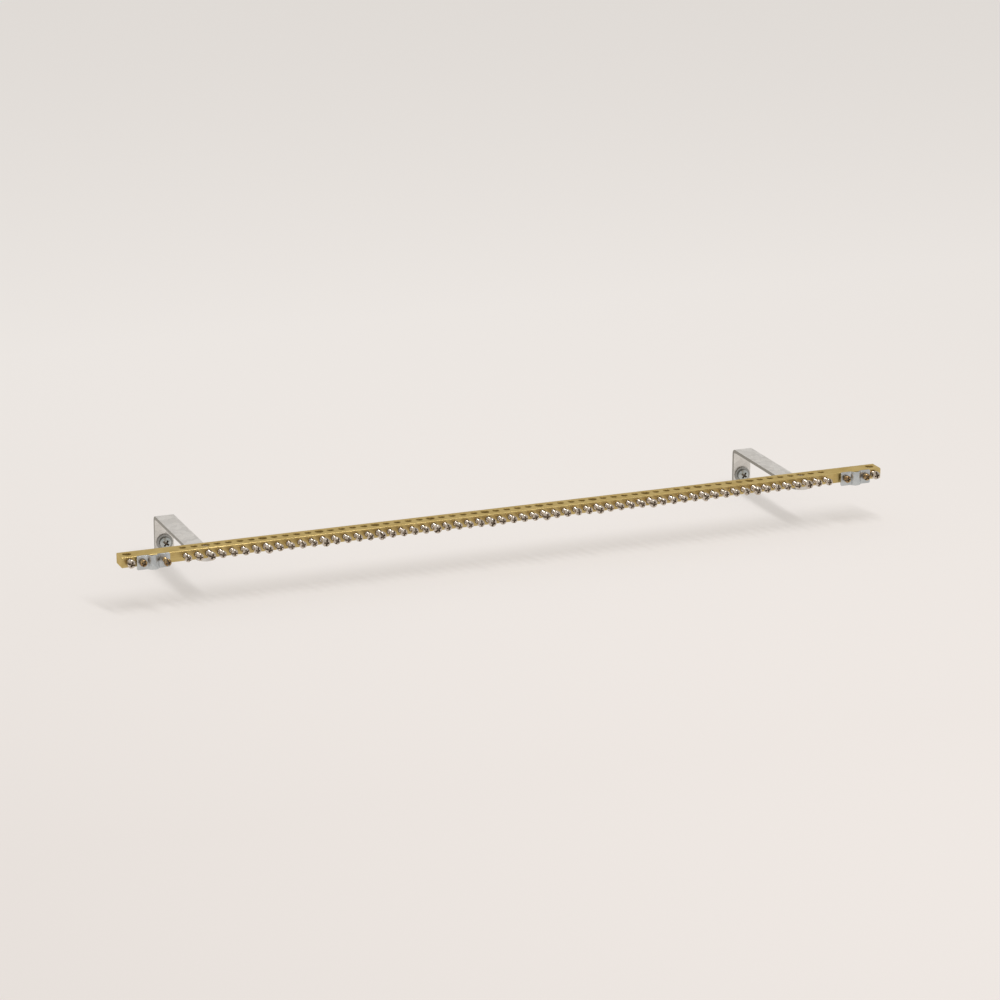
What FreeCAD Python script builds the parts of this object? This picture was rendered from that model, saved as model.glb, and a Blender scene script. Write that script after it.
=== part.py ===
"""Earth terminal bar: a brass bar with sixty clamping terminals on two wall brackets.

Frame, in millimetres: the origin is midway between the two wall screws, on the plane of the
brackets' backs. +X runs along the bar, +Y points into the wall and +Z is up, so the terminal
screws face -Y.

The bar is cross drilled. Each terminal is an upright cable hole, met from the front by a
tapped hole whose screw presses on the conductor. Terminals come in sets of five: two small,
one large, two small. The screws are backed out, as the bar is delivered, so every cable hole
is free. A saddle near each end clamps the main earth conductor against the bar's face.

What repeats along the bar is drawn with a few flats instead of a circle, which keeps the
facets few. What another part meets, at the two end terminals and the wall screws, is round.
"""
import FreeCAD
import Part
import Sketcher
import math
import os

# Driving sizes in millimetres. Each one has a cell of its own in the sheet.
SIZES = {
    "bar_length": 700.0,
    "bar_depth": 15.0,
    "bar_height": 9.0,
    "bar_edge_radius": 0.5,
    "bar_end_chamfer": 0.4,
    "terminal_pitch": 10.0,
    "hole_row": 8.6,
    "small_hole": 5.4,
    "large_hole": 7.0,
    "end_terminal_inset": 7.0,
    "thread_gap": 0.1,
    "tip_gap": 0.5,
    "hole_clearance": 0.5,
    "slot_width": 1.1,
    "slot_depth": 1.3,
    "small_thread": 4.0,
    "small_shank": 12.0,
    "small_head": 6.2,
    "small_head_height": 3.2,
    "large_thread": 5.0,
    "large_shank": 12.0,
    "large_head": 7.2,
    "large_head_height": 3.8,
    "end_shank": 8.0,
    "saddle_inset": 26.5,
    "saddle_length": 28.4,
    "saddle_height": 13.4,
    "saddle_sheet": 1.5,
    "saddle_channel": 7.0,
    "saddle_lift": 2.0,
    "saddle_bend": 1.2,
    "saddle_corner": 1.0,
    "saddle_screw_spacing": 19.0,
    "saddle_thread": 4.0,
    "saddle_shank": 14.0,
    "saddle_head": 6.8,
    "saddle_head_height": 3.4,
    "saddle_slack": 1.6,
    "loose_slack": 7.2,
    "saddle_tap_depth": 11.0,
    "bracket_reach": 131.0,
    "bracket_overhang": 2.5,
    "bracket_width": 17.0,
    "bracket_sheet": 3.0,
    "bracket_bend": 2.0,
    "bracket_drop": 39.5,
    "bracket_corner": 3.0,
    "fixing_thread": 4.0,
    "fixing_shank": 10.0,
    "fixing_head": 6.4,
    "fixing_head_height": 2.6,
    "fixing_sink": 0.8,
    "wall_screw_drop": 24.5,
    "wall_thread": 6.0,
    "wall_shank": 16.0,
    "wall_head": 10.0,
    "wall_head_height": 4.0,
    "wall_head_crown": 1.8,
    "washer": 14.4,
    "washer_sheet": 1.6,
}

# A set has a large terminal in its middle; its small ones are so many pitches from that.
TERMINALS_PER_SET = 5
SMALL_STEPS = (-2, -1, 1, 2)
SET_COUNT = 12
SETS_PER_SCREW_NODE = 2
# Flats of a cable hole, of a screw and its tapped hole, and of a wall screw's head and washer.
HOLE_FLATS = 10
SCREW_FLATS = 8
HEAD_FLATS = 16
# How far a cut starts outside the face that it opens.
CUT_MARGIN = 1.0

doc = FreeCAD.newDocument("EarthTerminalBar")
sheet = doc.addObject("Spreadsheet::Sheet", "Sizes")
for row, (alias, number) in enumerate(SIZES.items(), start=1):
    sheet.set(f"A{row}", alias)
    sheet.set(f"B{row}", str(number))
    sheet.setAlias(f"B{row}", alias)
doc.recompute()

# Places and sizes that several pieces share, as expressions of the driving sizes.
SET_PITCH = f"({TERMINALS_PER_SET} * Sizes.terminal_pitch)"
BRACKET_X = f"({(SET_COUNT - 1) / 2} * {SET_PITCH})"
BAR_FRONT = "(-Sizes.bracket_reach)"
BAR_UNDERSIDE = "Sizes.wall_screw_drop"
MID_HEIGHT = "(Sizes.bar_height / 2)"
SCREW_LINE = f"({BAR_UNDERSIDE} + {MID_HEIGHT})"
END_TERMINAL = "(Sizes.bar_length / 2 - Sizes.end_terminal_inset)"
SADDLE_CENTRE = "(Sizes.bar_length / 2 - Sizes.saddle_inset)"
FIXING_SEAT = "(Sizes.fixing_sink + Sizes.fixing_head_height)"


def tap(kind):
    """Diameter of the tapped hole for a kind of screw."""
    return f"(Sizes.{kind}_thread + 2 * Sizes.thread_gap)"


def drilled(kind):
    """Diameter of the plain hole that a kind of screw passes through."""
    return f"(Sizes.{kind}_thread + Sizes.hole_clearance)"


def value(expression):
    """Number that an expression of the sheet's sizes comes to."""
    return float(sheet.evalExpression(expression))


def new_body(label):
    """Empty body whose label names the node."""
    body = doc.addObject("PartDesign::Body", label)
    body.Label = label
    return body


def origin_part(body, role):
    """Plane or axis of a body's own origin."""
    for feature in body.Origin.OriginFeatures:
        if feature.Role == role:
            return feature
    raise ValueError(role)


def attach(feature, body, plane, across="0", up="0", out="0"):
    """Seats a feature on a plane of its body, moved across and up in it and out along its normal."""
    feature.AttachmentSupport = [(origin_part(body, plane), "")]
    feature.MapMode = "FlatFace"
    for axis, expression in zip("xyz", (across, up, out)):
        if expression != "0":
            feature.setExpression(f".AttachmentOffset.Base.{axis}", expression)


def new_sketch(body, name, plane, out="0"):
    """Sketch on a plane of its body, or lifted off it."""
    sketch = body.newObject("Sketcher::SketchObject", f"{body.Name}_{name}")
    attach(sketch, body, plane, out=out)
    return sketch


def hold_point(sketch, geometry, point, across, up):
    """Ties a point of a sketch to two expressions, measured from the sketch's origin."""
    for kind, axis, expression in (("DistanceX", -2, across), ("DistanceY", -1, up)):
        if expression == "0":
            sketch.addConstraint(Sketcher.Constraint("PointOnObject", geometry, point, axis))
        else:
            rule = Sketcher.Constraint(kind, -1, 1, geometry, point, value(expression))
            number = sketch.addConstraint(rule)
            sketch.setExpression(f"Constraints[{number}]", expression)


def add_circle(sketch, across, up, diameter):
    """Circle in a sketch, with its centre and diameter tied to expressions."""
    centre = FreeCAD.Vector(value(across), value(up), 0)
    circle = Part.Circle(centre, FreeCAD.Vector(0, 0, 1), value(diameter) / 2)
    geometry = sketch.addGeometry(circle)
    hold_point(sketch, geometry, 3, across, up)
    number = sketch.addConstraint(Sketcher.Constraint("Diameter", geometry, value(diameter)))
    sketch.setExpression(f"Constraints[{number}]", diameter)


def add_outline(sketch, corners):
    """Closed outline of straight lines through corners, each a pair of expressions."""
    points = [FreeCAD.Vector(value(across), value(up), 0) for across, up in corners]
    lines = []
    for start, end in zip(points, points[1:] + points[:1]):
        lines.append(sketch.addGeometry(Part.LineSegment(start, end)))
    for line, following in zip(lines, lines[1:] + lines[:1]):
        sketch.addConstraint(Sketcher.Constraint("Coincident", line, 2, following, 1))
    for line, (across, up) in zip(lines, corners):
        hold_point(sketch, line, 1, across, up)


def add_rectangle(sketch, left, bottom, right, top):
    """Rectangle between two corners."""
    add_outline(sketch, [(left, bottom), (right, bottom), (right, top), (left, top)])


def pad(body, sketch, length, both_ways=False):
    """Adds the sketch's area carried along its normal, to one side or centred on it."""
    feature = body.newObject("PartDesign::Pad", f"{sketch.Name}_pad")
    feature.Profile = sketch
    feature.setExpression("Length", length)
    if both_ways:
        feature.SideType = "Symmetric"
    return feature


def pocket(body, sketch, depth=None, flip=False):
    """Cuts the sketch's area to a depth against its normal, or right through both ways."""
    feature = body.newObject("PartDesign::Pocket", f"{sketch.Name}_cut")
    feature.Profile = sketch
    if depth:
        feature.setExpression("Length", depth)
        feature.Reversed = flip
    else:
        feature.SideType = "Symmetric"
        feature.Type = "ThroughAll"
    return feature


def flatted(body, name, add, plane, diameter, length, across="0", up="0", out="0", flats=HOLE_FLATS,
            turned=False):
    """Adds or cuts a round shape drawn with a few flats, from out, along the plane's normal.

    Turned, it goes the other way. One that a pattern repeats has no up or out on an upright plane.
    """
    kind = "Additive" if add else "Subtractive"
    feature = body.newObject(f"PartDesign::{kind}Prism", f"{body.Name}_{name}")
    if turned:
        half_turn = FreeCAD.Rotation(FreeCAD.Vector(1, 0, 0), 180)
        feature.AttachmentOffset = FreeCAD.Placement(FreeCAD.Vector(), half_turn)
    attach(feature, body, plane, across, up, out)
    feature.Polygon = flats
    feature.setExpression("Circumradius", f"{diameter} / 2")
    feature.setExpression("Height", length)
    return feature


def cable_hole(body, name, diameter, across):
    """Upright hole right through the bar."""
    return flatted(body, name, False, "XY_Plane", diameter, f"Sizes.bar_height + 2 * {CUT_MARGIN}",
                   across, out=f"-{MID_HEIGHT} - {CUT_MARGIN}")


def tapped_hole(body, name, kind, across, beyond="0"):
    """Level hole at half the bar's height, from its front face to the hole row or beyond."""
    return flatted(body, name, False, "XZ_Plane", tap(kind), f"Sizes.hole_row + {beyond} + {CUT_MARGIN}",
                   across, out=f"-{beyond}" if beyond != "0" else "0", flats=SCREW_FLATS)


def dress(body, kind, size_name, size, pick):
    """Fillet or chamfer on the edges of the body's tip that pick accepts."""
    doc.recompute()
    base = body.Tip
    names = [f"Edge{n}" for n, edge in enumerate(base.Shape.Edges, start=1) if pick(edge)]
    if not names:
        raise ValueError(f"no edge to dress on {body.Label}")
    feature = body.newObject(f"PartDesign::{kind}", f"{body.Name}_{kind.lower()}")
    feature.Base = (base, names)
    feature.setExpression(size_name, size)
    return feature


def runs_along(edge, axis):
    """True where a straight edge is parallel to an axis, 0 to 2 for X to Z."""
    box = edge.BoundBox
    lengths = [box.XLength, box.YLength, box.ZLength]
    long_side = lengths.pop(axis)
    return long_side > 1e-6 and max(lengths) < 1e-6


def repeat_sets(body, name, originals, count):
    """Repeats one set's features along the bar, from set to set."""
    pattern = body.newObject("PartDesign::LinearPattern", f"{body.Name}_{name}")
    pattern.Originals = originals
    pattern.Direction = (origin_part(body, "X_Axis"), [""])
    pattern.Mode = "Spacing"
    pattern.setExpression("Offset", SET_PITCH)
    pattern.Occurrences = count
    body.Tip = pattern


def place(body, across, inward, up):
    """Puts a body's own origin at a place in the part's frame."""
    body.setExpression(".Placement.Base.x", across)
    body.setExpression(".Placement.Base.y", inward)
    body.setExpression(".Placement.Base.z", up)


def terminal_bar():
    """Brass bar: drawn section, sawn ends, and a cable hole and a tapped hole for each terminal.

    Its own origin is midway along, on the row of cable holes, at half height.
    """
    body = new_body("terminal_bar")
    section = new_sketch(body, "section", "YZ_Plane")
    add_rectangle(section, "-Sizes.hole_row", f"-{MID_HEIGHT}",
                  "Sizes.bar_depth - Sizes.hole_row", MID_HEIGHT)
    pad(body, section, "Sizes.bar_length", both_ways=True)
    dress(body, "Fillet", "Radius", "Sizes.bar_edge_radius", lambda edge: runs_along(edge, 0))
    half = value("Sizes.bar_length / 2")
    dress(body, "Chamfer", "Size", "Sizes.bar_end_chamfer",
          lambda edge: edge.BoundBox.XLength < 1e-6 and abs(abs(edge.BoundBox.XMin) - half) < 1e-6)

    end_cable = new_sketch(body, "end_cable_holes", "XY_Plane")
    end_tap = new_sketch(body, "end_tapped_holes", "XZ_Plane")
    for side in ("-", ""):
        add_circle(end_cable, f"{side}{END_TERMINAL}", "0", "Sizes.large_hole")
        add_circle(end_tap, f"{side}{END_TERMINAL}", "0", tap("large"))
    pocket(body, end_cable)
    pocket(body, end_tap, f"Sizes.hole_row + {CUT_MARGIN}", flip=True)

    for hand, side in (("left", "-"), ("right", "")):
        across = f"{side}{BRACKET_X}"
        flatted(body, f"fixing_seat_{hand}", False, "XY_Plane", "Sizes.large_hole",
                f"{FIXING_SEAT} + {CUT_MARGIN}", across, out=f"{MID_HEIGHT} - {FIXING_SEAT}")
        cable_hole(body, f"fixing_hole_{hand}", drilled("fixing"), across)
        for end, way in (("outer", side or "+"), ("inner", "+" if side else "-")):
            tapped_hole(body, f"saddle_tap_{hand}_{end}", "saddle",
                        f"{side}{SADDLE_CENTRE} {way} Sizes.saddle_screw_spacing / 2",
                        "(Sizes.saddle_tap_depth - Sizes.hole_row)")

    first_large = f"(-{BRACKET_X})"
    second_large = f"({first_large} + {SET_PITCH})"
    large_cable = cable_hole(body, "large_cable_hole", "Sizes.large_hole", second_large)
    repeat_sets(body, "large_holes", [large_cable], SET_COUNT - 2)
    small_places = [f"({first_large} + {step} * Sizes.terminal_pitch)" for step in SMALL_STEPS]
    small_cables = [cable_hole(body, f"small_cable_hole_{number}", "Sizes.small_hole", across)
                    for number, across in enumerate(small_places)]
    repeat_sets(body, "small_holes", small_cables, SET_COUNT)
    taps = [tapped_hole(body, f"small_tapped_hole_{number}", "small", across)
            for number, across in enumerate(small_places)]
    taps.append(tapped_hole(body, "large_tapped_hole", "large", first_large))
    repeat_sets(body, "tapped_holes", taps, SET_COUNT)
    place(body, "0", f"{BAR_FRONT} + Sizes.hole_row", SCREW_LINE)
    return body


def add_screw(body, kind, shank_length, across="0"):
    """Shank and head of a screw along Y, the head towards -Y and its seat face at Y = 0.

    kind names the other sizes of the screw: its thread, head diameter and head height.
    """
    shank = flatted(body, "shank", True, "XZ_Plane", f"Sizes.{kind}_thread", shank_length,
                    across, flats=SCREW_FLATS, turned=True)
    head = flatted(body, "head", True, "XZ_Plane", f"Sizes.{kind}_head", f"Sizes.{kind}_head_height",
                   across, flats=SCREW_FLATS)
    return [shank, head]


def cut_slot(body, kind):
    """Driver slot across the head of a screw."""
    slot = new_sketch(body, "slot", "XZ_Plane", f"Sizes.{kind}_head_height")
    add_rectangle(slot, f"-Sizes.{kind}_head", "-Sizes.slot_width / 2",
                  f"Sizes.{kind}_head", "Sizes.slot_width / 2")
    pocket(body, slot, "Sizes.slot_depth")


def slotted_screw(label, kind, shank_length=None):
    """Cheese-head screw with a driver slot. Its shank is as long as others of its kind, or as given."""
    body = new_body(label)
    add_screw(body, kind, shank_length or f"Sizes.{kind}_shank")
    cut_slot(body, kind)
    return body


def place_terminal_screw(body, hole, shank_length, across):
    """Backs a terminal screw out until its tip is clear of the cable hole."""
    tip = f"(Sizes.hole_row - {hole} / 2 - Sizes.tip_gap)"
    place(body, across, f"{BAR_FRONT} + {tip} - {shank_length}", SCREW_LINE)


def small_screws(first_set):
    """The small terminal screws of neighbouring sets, as separate solids of one node."""
    last_set = first_set + SETS_PER_SCREW_NODE - 1
    body = new_body(f"small_screws_set_{first_set:02d}_{last_set:02d}")
    features = []
    for step in SMALL_STEPS:
        features += add_screw(body, "small", "Sizes.small_shank", f"{step} * Sizes.terminal_pitch")
    repeat_sets(body, "sets", features, SETS_PER_SCREW_NODE)
    place_terminal_screw(body, "Sizes.small_hole", "Sizes.small_shank",
                         f"{first_set - 1} * {SET_PITCH} - {BRACKET_X}")
    return body


def large_screw(label, shank_length, across):
    """Large terminal screw of one set, or the shorter one of an end terminal."""
    body = slotted_screw(label, "large", shank_length)
    place_terminal_screw(body, "Sizes.large_hole", shank_length, across)
    return body


def saddle(label, side):
    """Clamp of folded steel strip: two flat ears with a half-round channel between them.

    Its own origin is at the channel's axis, on the plane of the ears' backs, at half height.
    """
    body = new_body(label)
    half_length = "(Sizes.saddle_length / 2)"
    ears = new_sketch(body, "ears", "XY_Plane")
    add_rectangle(ears, f"-{half_length}", "-Sizes.saddle_sheet", half_length, "0")
    pad(body, ears, "Sizes.saddle_height", both_ways=True)

    radius = "(Sizes.saddle_channel / 2 + Sizes.saddle_sheet)"
    size = value(radius)
    hump = new_sketch(body, "hump", "XY_Plane")
    circle = Part.Circle(FreeCAD.Vector(0, 0, 0), FreeCAD.Vector(0, 0, 1), size)
    curve = hump.addGeometry(Part.ArcOfCircle(circle, math.pi, 2 * math.pi))
    chord = hump.addGeometry(Part.LineSegment(FreeCAD.Vector(size, 0, 0), FreeCAD.Vector(-size, 0, 0)))
    hump.addConstraint(Sketcher.Constraint("Coincident", curve, 3, -1, 1))
    hump.addConstraint(Sketcher.Constraint("Coincident", curve, 2, chord, 1))
    hump.addConstraint(Sketcher.Constraint("Coincident", curve, 1, chord, 2))
    hump.addConstraint(Sketcher.Constraint("PointOnObject", curve, 1, -1))
    hump.addConstraint(Sketcher.Constraint("PointOnObject", curve, 2, -1))
    number = hump.addConstraint(Sketcher.Constraint("Radius", curve, size))
    hump.setExpression(f"Constraints[{number}]", radius)
    pad(body, hump, "Sizes.saddle_height", both_ways=True)

    channel = new_sketch(body, "channel", "XY_Plane")
    add_circle(channel, "0", "0", "Sizes.saddle_channel")
    pocket(body, channel)
    for way in ("-", ""):
        flatted(body, "screw_hole", False, "XZ_Plane", drilled("saddle"),
                f"Sizes.saddle_sheet + 2 * {CUT_MARGIN}", f"{way}Sizes.saddle_screw_spacing / 2",
                out=f"-{CUT_MARGIN}")

    reach = size + value("Sizes.saddle_bend")
    end_at = value(half_length)
    dress(body, "Fillet", "Radius", "Sizes.saddle_bend",
          lambda edge: runs_along(edge, 2) and abs(edge.BoundBox.XMin) < reach
          and edge.BoundBox.ZLength > value("Sizes.saddle_height") - 1e-6)
    dress(body, "Fillet", "Radius", "Sizes.saddle_corner",
          lambda edge: runs_along(edge, 1) and abs(abs(edge.BoundBox.XMin) - end_at) < 1e-6)
    place(body, f"{side}{SADDLE_CENTRE}", f"{BAR_FRONT} - Sizes.saddle_lift", SCREW_LINE)
    return body


def saddle_screw(label, side, way, slack):
    """Yellow screw of a saddle, its seat face a little in front of the ear that it will press."""
    body = slotted_screw(label, "saddle")
    place(body, f"{side}{SADDLE_CENTRE} {way} Sizes.saddle_screw_spacing / 2",
          f"{BAR_FRONT} - Sizes.saddle_lift - Sizes.saddle_sheet - {slack}", SCREW_LINE)
    return body


def bracket(label, side):
    """Bracket of flat steel bent to an L: the arm carries the bar, the back goes to the wall.

    Its own origin is at the wall screw, on the plane of the back.
    """
    body = new_body(label)
    top = BAR_UNDERSIDE
    under = f"({top} - Sizes.bracket_sheet)"
    foot = f"({top} - Sizes.bracket_drop)"
    tip = f"({BAR_FRONT} - Sizes.bracket_overhang)"
    side_view = new_sketch(body, "side_view", "YZ_Plane")
    add_outline(side_view, [("0", top), (tip, top), (tip, under), ("-Sizes.bracket_sheet", under),
                            ("-Sizes.bracket_sheet", foot), ("0", foot)])
    pad(body, side_view, "Sizes.bracket_width", both_ways=True)
    flatted(body, "wall_screw_hole", False, "XZ_Plane", drilled("wall"),
            f"Sizes.bracket_sheet + 2 * {CUT_MARGIN}", out=f"-{CUT_MARGIN}")
    flatted(body, "fixing_screw_hole", False, "XY_Plane", tap("fixing"),
            f"Sizes.bracket_sheet + 2 * {CUT_MARGIN}", "0", f"{BAR_FRONT} + Sizes.hole_row",
            f"{under} - {CUT_MARGIN}", flats=SCREW_FLATS)

    def on_line(edge, inward, up):
        box = edge.BoundBox
        return runs_along(edge, 0) and abs(box.YMin - value(inward)) + abs(box.ZMin - value(up)) < 1e-6

    def at_free_end(edge):
        at_tip = runs_along(edge, 2) and abs(edge.BoundBox.YMin - value(tip)) < 1e-6
        at_foot = runs_along(edge, 1) and abs(edge.BoundBox.ZMin - value(foot)) < 1e-6
        return at_tip or at_foot

    dress(body, "Fillet", "Radius", "Sizes.bracket_bend + Sizes.bracket_sheet",
          lambda edge: on_line(edge, "0", top))
    dress(body, "Fillet", "Radius", "Sizes.bracket_bend",
          lambda edge: on_line(edge, "-Sizes.bracket_sheet", under))
    dress(body, "Fillet", "Radius", "Sizes.bracket_corner", at_free_end)
    place(body, f"{side}{BRACKET_X}", "0", "0")
    return body


def fixing_screw(label, side):
    """Screw that holds the bar down on a bracket's arm, its head sunk in the bar."""
    body = slotted_screw(label, "fixing")
    body.Placement = FreeCAD.Placement(FreeCAD.Vector(), FreeCAD.Rotation(FreeCAD.Vector(1, 0, 0), -90))
    place(body, f"{side}{BRACKET_X}", f"{BAR_FRONT} + Sizes.hole_row",
          f"{BAR_UNDERSIDE} + Sizes.bar_height - {FIXING_SEAT}")
    return body


def wall_screw(label, side):
    """Pan-head screw through a bracket's back, its seat face on the washer.

    Its shank is round where it stands free of the bracket, and has flats in the bracket's hole.
    """
    body = new_body(label)
    covered = "(Sizes.bracket_sheet + Sizes.washer_sheet)"
    shank = new_sketch(body, "shank", "XZ_Plane", "-Sizes.wall_shank")
    add_circle(shank, "0", "0", "Sizes.wall_thread")
    pad(body, shank, f"Sizes.wall_shank - {covered}")
    flatted(body, "neck", True, "XZ_Plane", "Sizes.wall_thread", covered, flats=HEAD_FLATS, turned=True)
    flatted(body, "head", True, "XZ_Plane", "Sizes.wall_head", "Sizes.wall_head_height", flats=HEAD_FLATS)
    front = value("-Sizes.wall_head_height")
    dress(body, "Chamfer", "Size", "Sizes.wall_head_crown",
          lambda edge: edge.BoundBox.YLength < 1e-6 and abs(edge.BoundBox.YMin - front) < 1e-6)
    cut_slot(body, "wall")
    place(body, f"{side}{BRACKET_X}", "-Sizes.bracket_sheet - Sizes.washer_sheet", "0")
    return body


def wall_washer(label, side):
    """Plain washer between a wall screw's head and the bracket."""
    body = new_body(label)
    flatted(body, "disc", True, "XZ_Plane", "Sizes.washer", "Sizes.washer_sheet", flats=HEAD_FLATS)
    flatted(body, "hole", False, "XZ_Plane", drilled("wall"), f"Sizes.washer_sheet + 2 * {CUT_MARGIN}",
            out=f"-{CUT_MARGIN}")
    place(body, f"{side}{BRACKET_X}", "-Sizes.bracket_sheet", "0")
    return body


pieces = [terminal_bar()]
for first in range(1, SET_COUNT + 1, SETS_PER_SCREW_NODE):
    pieces.append(small_screws(first))
for number in range(SET_COUNT):
    pieces.append(large_screw(f"large_screw_set_{number + 1:02d}", "Sizes.large_shank",
                              f"{number} * {SET_PITCH} - {BRACKET_X}"))
for hand, side, outward, inward in (("left", "-", "-", "+"), ("right", "", "+", "-")):
    pieces.append(large_screw(f"end_screw_{hand}", "Sizes.end_shank", f"{side}{END_TERMINAL}"))
    pieces.append(saddle(f"saddle_{hand}", side))
    slack = "Sizes.loose_slack" if hand == "left" else "Sizes.saddle_slack"
    pieces.append(saddle_screw(f"saddle_screw_{hand}_outer", side, outward, "Sizes.saddle_slack"))
    pieces.append(saddle_screw(f"saddle_screw_{hand}_inner", side, inward, slack))
    pieces.append(bracket(f"bracket_{hand}", side))
    pieces.append(fixing_screw(f"fixing_screw_{hand}", side))
    pieces.append(wall_screw(f"wall_screw_{hand}", side))
    pieces.append(wall_washer(f"wall_washer_{hand}", side))

doc.recompute()
for item in doc.Objects:
    if "Invalid" in item.State or "Error" in item.State:
        raise RuntimeError(f"{item.Label} did not build: {item.State}")
for piece in pieces:
    if piece.Shape.isNull() or not piece.Shape.isValid():
        raise RuntimeError(f"{piece.Label} has no valid solid")
os.makedirs("parts", exist_ok=True)
for piece in pieces:
    piece.Shape.exportStep(f"parts/{piece.Label}.step")
    print(piece.Label, len(piece.Shape.Solids), round(piece.Shape.Volume, 2))
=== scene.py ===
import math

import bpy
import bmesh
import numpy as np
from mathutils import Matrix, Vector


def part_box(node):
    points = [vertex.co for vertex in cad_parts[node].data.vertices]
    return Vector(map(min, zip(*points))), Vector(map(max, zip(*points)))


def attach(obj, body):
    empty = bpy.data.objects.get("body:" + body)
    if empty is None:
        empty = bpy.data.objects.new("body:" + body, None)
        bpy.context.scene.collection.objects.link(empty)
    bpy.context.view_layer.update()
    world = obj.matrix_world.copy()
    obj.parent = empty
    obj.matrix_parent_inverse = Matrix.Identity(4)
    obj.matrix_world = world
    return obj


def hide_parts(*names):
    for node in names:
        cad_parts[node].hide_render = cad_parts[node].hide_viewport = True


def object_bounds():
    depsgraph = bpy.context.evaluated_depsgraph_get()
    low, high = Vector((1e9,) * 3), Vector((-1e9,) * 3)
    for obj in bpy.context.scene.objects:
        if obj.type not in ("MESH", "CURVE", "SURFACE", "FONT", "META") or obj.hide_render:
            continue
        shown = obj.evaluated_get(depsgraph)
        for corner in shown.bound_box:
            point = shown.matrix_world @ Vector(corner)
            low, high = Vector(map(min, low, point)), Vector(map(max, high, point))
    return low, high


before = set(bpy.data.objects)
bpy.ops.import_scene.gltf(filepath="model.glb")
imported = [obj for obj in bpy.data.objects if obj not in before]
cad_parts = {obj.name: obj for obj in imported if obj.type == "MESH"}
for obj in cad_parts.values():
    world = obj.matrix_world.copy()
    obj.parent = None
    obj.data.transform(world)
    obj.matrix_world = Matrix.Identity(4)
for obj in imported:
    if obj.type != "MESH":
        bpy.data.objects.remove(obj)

# %% [markdown]
# # Earth terminal bar
# A long brass bar gathers the protective conductors of a switchboard. Each conductor goes down
# through an upright hole and a screw from the front presses on it. Two bent steel brackets hold
# the bar away from the wall, and a saddle near each end clamps the main earth conductor.
#
# The scene keeps their places and sizes, and gives every piece the surface that the real one
# has. All shapes below are worked out in millimetres.

MM = 0.001
CAD_BOX = [list(corner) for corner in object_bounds()]
CHANCE = np.random.default_rng(seed=60)


def box_mm(node):
    """Lowest and highest corner of a CAD node, in millimetres."""
    return [np.array(corner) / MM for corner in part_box(node)]


def middle_mm(node):
    """Middle of a CAD node's box, in millimetres."""
    low, high = box_mm(node)
    return (low + high) / 2


bar_low, bar_high = box_mm("terminal_bar")
print("bar from", bar_low.round(2), "to", bar_high.round(2))

# %% [markdown]
# ## Surfaces as arrays
# Every new piece here is a set of patches. A patch is a grid of points, a row of rows, and the
# faces between neighbouring points are numbered with whole arrays. Joining the patches of a
# piece and welding the points they share gives one closed mesh. Modifiers could bevel and cut
# the same shapes, but a boolean leaves ragged faces round sixty pairs of crossing holes.

# %% A shell that grows patch by patch


class Shell:
    """Points in millimetres, and faces: flat or part of a curved surface, marked or not."""

    def __init__(self):
        self.points = []
        self.faces = []
        self.smooth = []
        self.marked = []
        self.count = 0

    def add(self, points, faces, smooth, marked=None):
        """Adds points and faces that number them from zero. Marked faces take a second finish."""
        self.faces += [[corner + self.count for corner in face] for face in faces]
        self.smooth += [smooth] * len(faces)
        self.marked += [False] * len(faces) if marked is None else marked
        self.points.append(np.asarray(points, float).reshape(-1, 3))
        self.count += len(self.points[-1])

    def grid(self, rows, closed=False, smooth=True, marked=None):
        """Faces between neighbouring rows. Closed also joins each row's last point to its first."""
        rows = np.asarray(rows, float)
        height, width = rows.shape[:2]
        column = np.arange(width if closed else width - 1)
        row = np.arange(height - 1)[:, None] * width
        after = (column + 1) % width
        quads = np.stack([row + column, row + after, row + width + after, row + width + column], -1)
        self.add(rows, quads.reshape(-1, 4).tolist(), smooth, marked)

    def polygon(self, points):
        """One flat face."""
        self.add(points, [list(range(len(points)))], False)

    def place(self, other, matrix=np.eye(3), shift=(0, 0, 0)):
        """Adds a turned and shifted copy of another shell."""
        points = np.concatenate(other.points) @ np.asarray(matrix).T + np.asarray(shift)
        self.faces += [[corner + self.count for corner in face] for face in other.faces]
        self.smooth += other.smooth
        self.marked += other.marked
        self.points.append(points)
        self.count += len(points)


def circle(radius, angles, plane="xy", centre=(0, 0, 0)):
    """Points at angles in radians round a centre, which they leave by radius times cosine along
    the plane's first axis and radius times sine along its second.
    """
    first, second = ("xyz".index(axis) for axis in plane)
    points = np.tile(np.asarray(centre, float), (len(angles), 1))
    points[:, first] += radius * np.cos(angles)
    points[:, second] += radius * np.sin(angles)
    return points


print("quarter points of a circle", circle(1.0, np.radians([0, 90])).round(3).tolist())

# %% [markdown]
# ## From a shell to a piece
# Welding by distance closes the seams between patches, and recalculating the normals turns
# every face outwards. Flat faces stay flat and curved ones are smoothed, so a drilled face
# keeps an even shine right up to the hole. Loose patches would render too, but a mesh that
# someone reuses or prints has to be closed.

# %% Making an object
# Points nearer than this, in metres, are welded, and edges that bend more than this are sharp.
WELD = 2e-6
SHARP = math.radians(40)


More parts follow.
